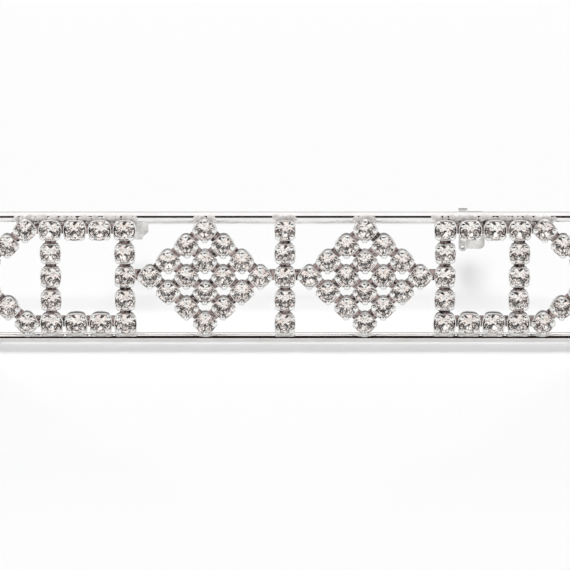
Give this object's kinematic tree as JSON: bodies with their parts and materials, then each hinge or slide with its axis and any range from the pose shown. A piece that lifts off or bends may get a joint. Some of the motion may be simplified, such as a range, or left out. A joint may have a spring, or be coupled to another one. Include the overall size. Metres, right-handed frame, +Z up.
{
  "type": "barrette",
  "caption": "Openwork bar barrette: wire frame filled with pronged crystal chain in a geometric pattern, hinged pin clasp and turning safety catch on the back.",
  "frame": {"origin": "on the axis of the shut clasp pin, at the middle of the bar's length", "axes": "+X along the bar from the hinge end to the catch end, +Z up across the bar, stones face -Y and the clasp is on the +Y side"},
  "size_m": [0.078, 0.0083, 0.0163],
  "materials": {
    "frame_wire": "polished rhodium-tone plating",
    "cup_metal": "bright plated pressed cups",
    "clasp_metal": "plated, slightly satin",
    "crystal": "clear faceted foil-backed crystal"
  },
  "bodies": {
    "frame": {"top_rail": "frame_wire", "bottom_rail": "frame_wire", "left_end_bow": "frame_wire", "right_end_bow": "frame_wire", "hinge_bracket": "clasp_metal", "hinge_rivet": "clasp_metal", "catch_housing": "clasp_metal", "middle_stem_cups": "cup_metal", "middle_stem_stones": "crystal", "middle_stem_links": "cup_metal", "right_lozenge_cups": "cup_metal", "right_lozenge_stones": "crystal", "right_lozenge_links": "cup_metal", "left_lozenge_cups": "cup_metal", "left_lozenge_stones": "crystal", "left_lozenge_links": "cup_metal", "right_window_cups": "cup_metal", "right_window_stones": "crystal", "right_window_links": "cup_metal", "left_window_cups": "cup_metal", "left_window_stones": "crystal", "left_window_links": "cup_metal", "right_point_cups": "cup_metal", "right_point_stones": "crystal", "right_point_links": "cup_metal", "left_point_cups": "cup_metal", "left_point_stones": "crystal", "left_point_links": "cup_metal"},
    "pin": {"clasp_pin": "clasp_metal"},
    "catch": {"catch_collar": "clasp_metal"}
  },
  "joints": [
    {"name": "pin_swing", "type": "hinge", "parent": "frame", "child": "pin", "pos_m": [-0.018, 0, 0], "axis": [0, 0, 1], "range_deg": [0, 75]},
    {"name": "catch_turn", "type": "hinge", "parent": "frame", "child": "catch", "pos_m": [0.0224, 0, 0], "axis": [1, 0, 0], "range_deg": [0, 100]}
  ]
}
